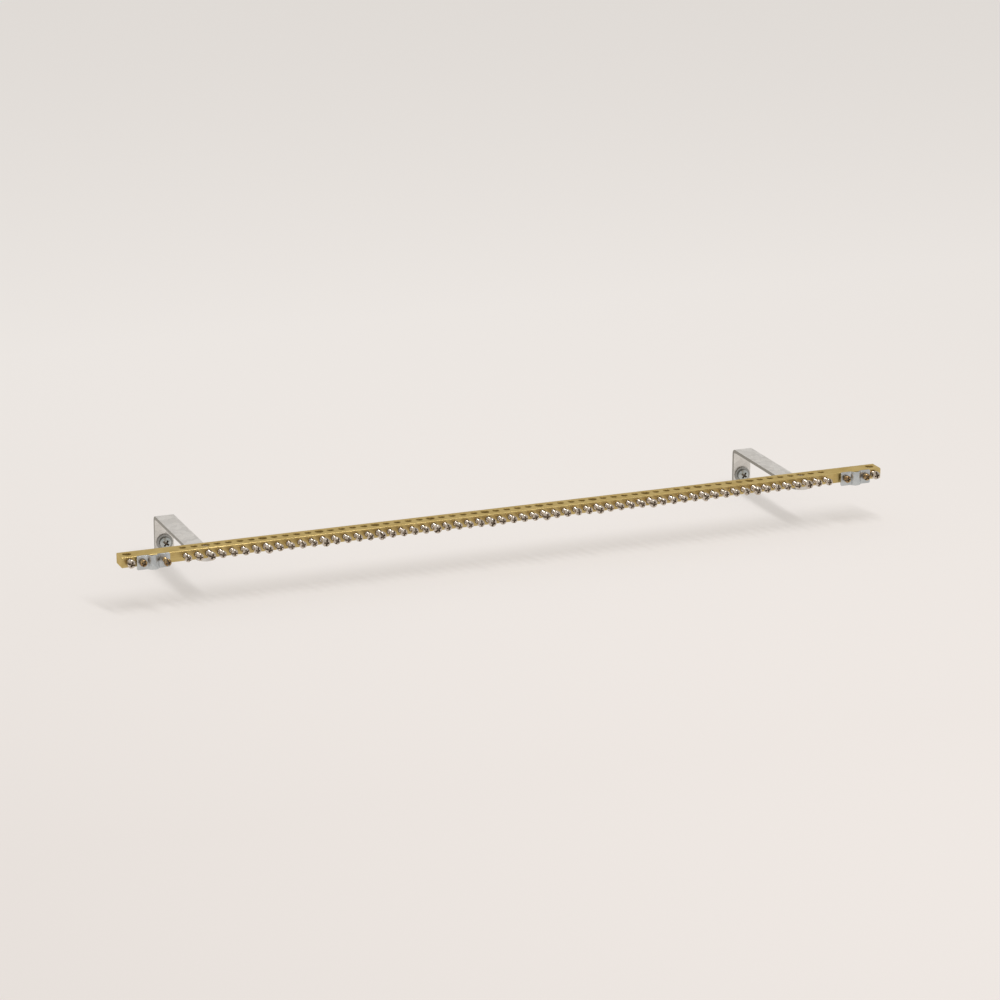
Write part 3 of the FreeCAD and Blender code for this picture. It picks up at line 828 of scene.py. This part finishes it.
# %% Small screws, two sets of terminals to a node
# A head's front is the front of its node's box, and its seat is the head's height behind that.
SETS_TOGETHER = 2
SCREW_LINE = bar_low[2] + MIDDLE
SMALL_SEAT = box_mm("small_screws_set_01_02")[0][1] + SMALL_HEAD["height"]
for first_set in range(1, TERMINALS // PER_SET + 1, SETS_TOGETHER):
    sets = f"{first_set:02d}_{first_set + 1:02d}"
    group = Shell()
    before = (first_set - 1) * PER_SET
    for number in range(before + 1, before + SETS_TOGETHER * PER_SET + 1):
        if not is_large(number):
            group.place(small_screw, turned(CHANCE.uniform(0, math.pi)),
                        (terminal_places[number - 1], SMALL_SEAT, SCREW_LINE))
    # The recesses' faces take the dark finish of painted shade.
    make_piece(f"small_screws_{sets}", group, bright_zinc, "plated_steel",
               [f"small_screws_set_{sets}"], recess_zinc_and_painted_shade)

# %% Large screws of the terminals and of the ends
large_places = {f"large_screw_set_{number // PER_SET + 1:02d}": terminal_places[number - 1]
                for number in range(LARGE_IN_SET, TERMINALS, PER_SET)}
large_places["end_screw_left"] = -END_TERMINAL
large_places["end_screw_right"] = END_TERMINAL
for node, across in large_places.items():
    seat = (across, box_mm(node)[0][1] + LARGE_HEAD["height"], SCREW_LINE)
    make_screw(node, end_screw if node.startswith("end") else large_screw, seat, bright_zinc)

# %% [markdown]
# ## Fixing screws and saddle screws
# Two screws hold the bar down on the brackets. They stand upright, sunk in cable holes. The four
# screws of the saddles are yellow and have higher heads. All could be modelled anew, but they
# differ from the terminal screws only in a few sizes, so the same function makes them. Each
# takes its place from the node that it stands for.

# %% Fixing screws
FIXING_ROD = {**SMALL_ROD, "length": 10.0}
FIXING_HEAD = {"radius": 3.2, "height": 2.6, "side": 1.8, "depth": 1.1}
UPRIGHT = np.array([[1, 0, 0], [0, 0, 1], [0, -1, 0]])
fixing = screw(FIXING_ROD, FIXING_HEAD, SMALL_SLOTS)
for hand in ("left", "right"):
    node = f"fixing_screw_{hand}"
    seat = (*middle_mm(node)[:2], box_mm(node)[1][2] - FIXING_HEAD["height"])
    make_screw(node, fixing, seat, bright_zinc, upright=UPRIGHT)

# %% Saddle screws
SADDLE_ROD = {**SMALL_ROD, "length": 14.0}
SADDLE_HEAD = {"radius": 3.1, "height": 3.4, "side": 2.2, "depth": 1.4}
saddle_fastener = screw(SADDLE_ROD, SADDLE_HEAD, SMALL_SLOTS)
for hand in ("left", "right"):
    for end in ("outer", "inner"):
        node = f"saddle_screw_{hand}_{end}"
        seat = (middle_mm(node)[0], box_mm(node)[0][1] + SADDLE_HEAD["height"], SCREW_LINE)
        make_screw(node, saddle_fastener, seat, yellow_zinc, "yellow_zinc")

# %% [markdown]
# ## Wall screws and washers
# The wall screw has a high domed head with a wide cross recess, two equal slots for the same
# function, on a finer grid because its head is the largest. The washer is a flat ring with
# bevelled corners. A cylinder with a boolean hole would do, but a profile carried once round
# needs no cutting.

# %% Wall screws
WALL_SLOTS = ((0.62, 2.9), (0.62, 2.9))
WALL_ROD = {"radius": 2.98, "length": 16.0, "pitch": 1.0}
WALL_HEAD = {"radius": 5.0, "height": 4.0, "side": 1.36, "depth": 2.0}
wall_fastener = screw(WALL_ROD, WALL_HEAD, WALL_SLOTS, rings=44, around=96)
for hand in ("left", "right"):
    node = f"wall_screw_{hand}"
    seat = middle_mm(node)
    seat[1] = box_mm(node)[0][1] + WALL_HEAD["height"]
    make_screw(node, wall_fastener, seat, grey_zinc)

# %% Washers
WASHER_INNER, WASHER_OUTER, WASHER_SHEET, WASHER_BEVEL = 3.25, 7.2, 1.6, 0.2
WASHER_AROUND = 72


def washer():
    """Profile of radius and height carried once round Y, from Y = 0 towards -Y."""
    near, far = WASHER_INNER + WASHER_BEVEL, WASHER_OUTER - WASHER_BEVEL
    low, high = WASHER_BEVEL, WASHER_SHEET - WASHER_BEVEL
    profile = [(WASHER_INNER, low), (near, 0.0), (far, 0.0), (WASHER_OUTER, low),
               (WASHER_OUTER, high), (far, WASHER_SHEET), (near, WASHER_SHEET),
               (WASHER_INNER, high), (WASHER_INNER, low)]
    angles = full_turn(WASHER_AROUND)
    rows = [circle(radius, angles, "xz", (0, -height, 0)) for radius, height in profile]
    shell = Shell()
    for pair in zip(rows, rows[1:]):
        shell.grid(pair, closed=True)
    return shell


for hand in ("left", "right"):
    node = f"wall_washer_{hand}"
    seat = middle_mm(node)
    seat[1] = box_mm(node)[1][1]
    make_one(f"plain_washer_{hand}", washer(), np.eye(3), seat, dull_zinc, "plated_steel", node)

# %% [markdown]
# ## Folded strip
# Brackets and saddles are strip that was sheared and folded. A plane with Solidify and Bevel
# could be bent round them, but its bevel would have to stop at the free ends. A rounded section
# carried along the fold's middle line gives the sheared edges a soft glint, and narrowing the
# section towards a free end rounds its corners. The line is made of straight runs and exact arcs.

# %% Middle line of a fold
# Points that round one corner of a free end.
CORNER_POINTS = 13


def path_of(pieces):
    """Middle line in a plane, from straight points (u, v) and arcs.

    An arc is its centre, radius, first and last angle in degrees and number of points, and its
    points are the centre plus the radius times cosine and sine.
    """
    points = []
    for piece in pieces:
        if len(piece) == 2:
            points.append(np.array([piece], float))
        else:
            (u, v), radius, first, last, count = piece
            angle = np.radians(np.linspace(first, last, count))
            points.append(np.stack([u + radius * np.cos(angle), v + radius * np.sin(angle)], -1))
    line = np.concatenate(points)
    apart = np.linalg.norm(np.diff(line, axis=0), axis=1) > CLOSE
    return line[np.concatenate([[True], apart])]


def refined(line, corners):
    """Adds points near the free ends, at corner (1 - cos(equal turns)), for rounded corners."""
    for corner in corners:
        extra = corner * (1 - np.cos(np.linspace(0, math.pi / 2, CORNER_POINTS)))[1:]
        direction = (line[1] - line[0]) / np.linalg.norm(line[1] - line[0])
        line = np.concatenate([line[:1], line[0] + extra[:, None] * direction, line[1:]])[::-1]
    return line


straight = refined(path_of([(0, 0), (9, 0)]), (1, 1))
print("points of a straight strip with round corners", len(straight))

# %% Strip along a middle line
# A face is a sheared one where this much of its normal lies along the strip's width.
MOSTLY = 0.8


def unit(vectors):
    """Each vector divided by its length."""
    return vectors / np.linalg.norm(vectors, axis=1)[:, None]


def folded_strip(line, width, sheet, corners, edge):
    """Closed strip round a middle line (u, v), its width along w; rows are (u, v, w).

    The half width near a free end is half - corner + root(corner squared - (corner - d) squared)
    at a distance d from the end. The section's corners are quarter circles of radius edge.
    """
    line = refined(line, corners)
    steps = np.diff(line, axis=0)
    distance = np.concatenate([[0], np.cumsum(np.linalg.norm(steps, axis=1))])
    before, after = np.concatenate([steps[:1], steps]), np.concatenate([steps, steps[-1:]])
    ahead = unit(unit(before) + unit(after))
    normal = np.stack([-ahead[:, 1], ahead[:, 0]], -1)
    half = np.full(len(line), width / 2)
    for from_end, corner in zip((distance, distance[-1] - distance), corners):
        left = corner - np.minimum(from_end, corner)
        rounded = np.sqrt(np.clip(corner ** 2 - left ** 2, 0, None))
        half = np.minimum(half, width / 2 - corner + rounded)
    quarter = np.linspace(0, math.pi / 2, ARC_POINTS)
    across, through = [], []
    for start, (side, level) in enumerate([(1, 1), (-1, 1), (-1, -1), (1, -1)]):
        angle = quarter + start * math.pi / 2
        across.append(side * (half[:, None] - edge) + edge * np.cos(angle))
        through.append(np.full((len(line), 1), level * (sheet / 2 - edge)) + edge * np.sin(angle))
    across, through = np.concatenate(across, 1), np.concatenate(through, 1)
    in_plane = line[:, None] + normal[:, None] * through[..., None]
    rows = np.concatenate([in_plane, across[..., None]], -1)
    shell = Shell()
    shell.grid(rows, closed=True)
    shell.polygon(rows[0])
    shell.polygon(rows[-1])
    return shell


def sheared_along(axis):
    """Picks the two sheared sides of a strip: the faces whose normal is mostly along an axis."""
    return lambda centres, normals: np.abs(normals[:, axis]) > MOSTLY


sample = folded_strip(np.array([(0.0, 0.0), (9.0, 0.0)]), 5.0, 1.0, (1.0, 1.0), 0.2)
print("faces in a straight strip", len(sample.faces))

# %% Brackets
# The arm's tip ends a little behind the solid's tip, as in the photograph.
SHEET = 3.0
INNER_BEND = 2.0
TIP_BACK = 3.0
TIP_CORNER, FOOT_CORNER = 8.2, 3.0
STRIP_EDGE = 0.3
BEND_POINTS = 13
low, high = box_mm("bracket_left")
tip, top, foot = low[1] + TIP_BACK, high[2], low[2]
bend_centre = (-(INNER_BEND + SHEET), top - (INNER_BEND + SHEET))
bend = (bend_centre, INNER_BEND + SHEET / 2, 90, 0, BEND_POINTS)
arm_line = path_of([(tip, top - SHEET / 2), bend, (-SHEET / 2, foot)])
arm = folded_strip(arm_line, high[0] - low[0], SHEET, (TIP_CORNER, FOOT_CORNER), STRIP_EDGE)
WIDTH_ALONG_X = np.array([[0, 0, 1], [1, 0, 0], [0, 1, 0]])
for hand in ("left", "right"):
    node = f"bracket_{hand}"
    make_one(f"folded_bracket_{hand}", arm, WIDTH_ALONG_X, (middle_mm(node)[0], 0, 0),
             galvanised_strip, "galvanised_steel", node, sheared_edge, sheared_along(0))

# %% Middle line of a saddle
# Radii are inner ones. The hump's arc meets each foot's arc where both lean the same way.
SADDLE_SHEET = 1.5
CHANNEL = 3.5
FOOT_BEND = 1.2
FOOT_POINTS, HUMP_POINTS = 7, 25
low, high = box_mm("saddle_left")
half_length = (high[0] - low[0]) / 2
hump_radius = CHANNEL + SADDLE_SHEET / 2
foot_radius = FOOT_BEND + SADDLE_SHEET / 2
ear_level = -SADDLE_SHEET / 2
foot_level = ear_level - foot_radius
foot_u = math.sqrt((hump_radius + foot_radius) ** 2 - foot_level ** 2)
lean = math.degrees(math.atan2(-foot_level, foot_u))
left_foot = ((-foot_u, foot_level), foot_radius, 90, lean, FOOT_POINTS)
right_foot = ((foot_u, foot_level), foot_radius, 180 - lean, 90, FOOT_POINTS)
hump = ((0, 0), hump_radius, 180 + lean, 360 - lean, HUMP_POINTS)
saddle_line = path_of([(-half_length, ear_level), left_foot, hump, right_foot,
                       (half_length, ear_level)])
print("saddle's middle line has", len(saddle_line), "points")

# %% Saddles
# The saddle stands a little above the bar's top.
SADDLE_RISE = 1.0
SADDLE_CORNER, SADDLE_EDGE = 1.0, 0.2
saddle_height = bar_high[2] + SADDLE_RISE - low[2]
saddle_strip = folded_strip(saddle_line, saddle_height, SADDLE_SHEET,
                            (SADDLE_CORNER, SADDLE_CORNER), SADDLE_EDGE)
for hand in ("left", "right"):
    node = f"saddle_{hand}"
    low, high = box_mm(node)
    place = (middle_mm(node)[0], high[1], low[2] + saddle_height / 2)
    make_one(f"folded_saddle_{hand}", saddle_strip, np.eye(3), place, galvanised_sheet,
             "galvanised_steel", node, sheared_edge, sheared_along(2))

# %% [markdown]
# ## Floor
# The object was photographed on a plain, warm white sheet that hardly darkens towards its back.
# A curved backdrop with more light would do that too, but it would also wash out the shadow. A
# wide matt plane just under the brackets' feet takes the soft shadow. The camera sees a part of
# its colour, and the metal that mirrors it most of it, as an even brightness that rises towards
# the back.

# %% White paper
# Shares of the even brightness, and the ends of its rise along Y in metres.
EVEN_SEEN, EVEN_MIRRORED = 0.42, 0.85
RISE_FROM, RISE_TO = -0.6, 0.7
paper = bpy.data.materials.new("warm white paper")
paper.use_nodes = True
tree = paper.node_tree
tree.nodes.clear()
matt = add_node(tree, "ShaderNodeBsdfDiffuse", sockets={"Color": colour("#F0ECE9")})
place = add_node(tree, "ShaderNodeTexCoord").outputs["Object"]
along = add_node(tree, "ShaderNodeSeparateXYZ", sockets={0: place}).outputs[1]
away = add_node(tree, "ShaderNodeMapRange",
                sockets={"Value": along, "From Min": RISE_FROM, "From Max": RISE_TO})
even_colour = add_node(tree, "ShaderNodeMix", {"data_type": "RGBA"},
                       {0: away.outputs[0], 6: colour("#E3E0DE"), 7: colour("#FFFFFE")})
even = add_node(tree, "ShaderNodeEmission",
                sockets={"Color": even_colour.outputs[2], "Strength": 1.0})
ray = add_node(tree, "ShaderNodeLightPath")
seen = add_node(tree, "ShaderNodeMath", {"operation": "MULTIPLY"},
                {0: ray.outputs["Is Camera Ray"], 1: EVEN_SEEN})
share = add_node(tree, "ShaderNodeMath", {"operation": "MULTIPLY_ADD"},
                 {0: ray.outputs["Is Glossy Ray"], 1: EVEN_MIRRORED, 2: seen.outputs[0]})
sheet_shader = add_node(tree, "ShaderNodeMixShader",
                        sockets={0: share.outputs[0], 1: matt.outputs[0], 2: even.outputs[0]})
add_node(tree, "ShaderNodeOutputMaterial", sockets={"Surface": sheet_shader.outputs[0]})
print(paper.name, "nodes", len(tree.nodes))

# %% Floor
FLOOR_HALF = 12.0
floor_level = CAD_BOX[0][2]
floor_corners = [(x * FLOOR_HALF, y * FLOOR_HALF, floor_level)
                 for x, y in ((-1, -1), (1, -1), (1, 1), (-1, 1))]
floor_mesh = bpy.data.meshes.new("floor")
floor_mesh.from_pydata(floor_corners, [], [(0, 1, 2, 3)])
floor_mesh.materials.append(paper)
floor = bpy.data.objects.new("floor", floor_mesh)
bpy.context.scene.collection.objects.link(floor)
print("floor at", round(floor_level / MM, 2), "mm")

# %% [markdown]
# ## Light
# One large soft box stands high in front. A square one of that size would blur every shadow
# alike. This one is long from front to back, so the bar's shadow is spread thin while the arms,
# which run the same way as the box, throw a clearer one.

# %% Soft box
SOFT_BOX_WIDTH, SOFT_BOX_LENGTH = 0.3, 1.7
SOFT_BOX_WATTS = 21.5
SOFT_BOX_PLACE = Vector((0.22, -0.95, 1.95))
LIT_POINT = Vector((0.0, -0.1, 0.0))
light_data = bpy.data.lights.new("soft box", "AREA")
light_data.shape = "RECTANGLE"
light_data.size = SOFT_BOX_WIDTH
light_data.size_y = SOFT_BOX_LENGTH
light_data.energy = SOFT_BOX_WATTS
light_data.color = colour("#FDFDFF")[:3]
soft_box = bpy.data.objects.new("soft box", light_data)
soft_box.location = SOFT_BOX_PLACE
soft_box.rotation_euler = (LIT_POINT - soft_box.location).to_track_quat("-Z", "Y").to_euler()
bpy.context.scene.collection.objects.link(soft_box)
print("lit by", soft_box.name, "from", [round(part, 2) for part in soft_box.location])

# %% [markdown]
# ## Room
# Polished metal shows the room round it. A modelled room would be slow to fill with light, so
# the world stands for it, with three colours by the kind of ray: what the metal mirrors, a
# little brighter at the back than in front, a warm grey that fills the shadows, and the pale
# paper for the camera.

# %% Room
# Ends of the mirrored rise, as the Y part of a direction.
FRONT, BACK = -0.6, 0.7
room = bpy.data.worlds.new("room")
bpy.context.scene.world = room
room.use_nodes = True
tree = room.node_tree
tree.nodes.clear()
direction = add_node(tree, "ShaderNodeTexCoord").outputs["Generated"]
depth = add_node(tree, "ShaderNodeSeparateXYZ", sockets={0: direction}).outputs[1]
inward = add_node(tree, "ShaderNodeMapRange",
                  sockets={"Value": depth, "From Min": FRONT, "From Max": BACK})
mirrored = add_node(tree, "ShaderNodeMix", {"data_type": "RGBA"},
                    {0: inward.outputs[0], 6: colour("#D2D2D2"), 7: colour("#E3E3E3")})
ray = add_node(tree, "ShaderNodeLightPath")
room_colour = add_node(tree, "ShaderNodeMix", {"data_type": "RGBA"},
                       {0: ray.outputs["Is Glossy Ray"], 6: colour("#CBC3BB"),
                        7: mirrored.outputs[2]})
seen_colour = add_node(tree, "ShaderNodeMix", {"data_type": "RGBA"},
                       {0: ray.outputs["Is Camera Ray"], 6: room_colour.outputs[2],
                        7: colour("#EDE9E5")})
sky = add_node(tree, "ShaderNodeBackground",
               sockets={"Color": seen_colour.outputs[2], "Strength": 1.0})
add_node(tree, "ShaderNodeOutputWorld", sockets={"Surface": sky.outputs[0]})
print(room.name, "nodes", len(tree.nodes))

# %% [markdown]
# ## Camera
# The photograph was taken with a long lens from the front left, a little above the bar. Its
# place could be found by eye. It was found by fitting the bar's edges, the row of holes and the
# brackets instead, because from a wrong distance the sixty screws spread wrongly. It is given
# here as the point it looks at, two angles, a distance and a slight roll.

# %% Direction of view
AIM = Vector((-0.014543, -0.131, 0.045304))
AZIMUTH, ELEVATION, ROLL = 0.380807, 0.302122, 0.0019266
DISTANCE = 3.191508
level = math.cos(ELEVATION)
forward = Vector((math.sin(AZIMUTH) * level, math.cos(AZIMUTH) * level, -math.sin(ELEVATION)))
right = Vector((math.cos(AZIMUTH), -math.sin(AZIMUTH), 0))
up = right.cross(forward)
rolled_right = math.cos(ROLL) * right + math.sin(ROLL) * up
rolled_up = math.cos(ROLL) * up - math.sin(ROLL) * right
print("looking along", [round(part, 3) for part in forward])

# %% Camera
# The lens's length is given in pixels of the photograph, and Blender takes it in millimetres.
FOCAL_PIXELS, FRAME_PIXELS, SENSOR = 3739.04, 1000, 36.0
camera_data = bpy.data.cameras.new("camera")
camera_data.sensor_width = SENSOR
camera_data.sensor_fit = "HORIZONTAL"
camera_data.lens = FOCAL_PIXELS / FRAME_PIXELS * SENSOR
camera_data.clip_end = 5 * FLOOR_HALF
camera = bpy.data.objects.new("camera", camera_data)
basis = Matrix((rolled_right, rolled_up, -forward)).transposed().to_4x4()
camera.matrix_world = Matrix.Translation(AIM - forward * DISTANCE) @ basis
bpy.context.scene.collection.objects.link(camera)
bpy.context.scene.camera = camera
bpy.context.scene.view_settings.view_transform = "Standard"
print("camera at", [round(part, 3) for part in camera.location], "lens", round(camera_data.lens, 1))

# %% [markdown]
# ## Sizes of the solids
# The box of the solids is printed. The dressed part keeps within a tenth of a millimetre of it,
# apart from the top, where the saddles end 1.2 mm lower than their solids.

# %% Print the solids' sizes and finish
bpy.context.view_layer.update()
print("solids", np.round(CAD_BOX, 4).tolist())
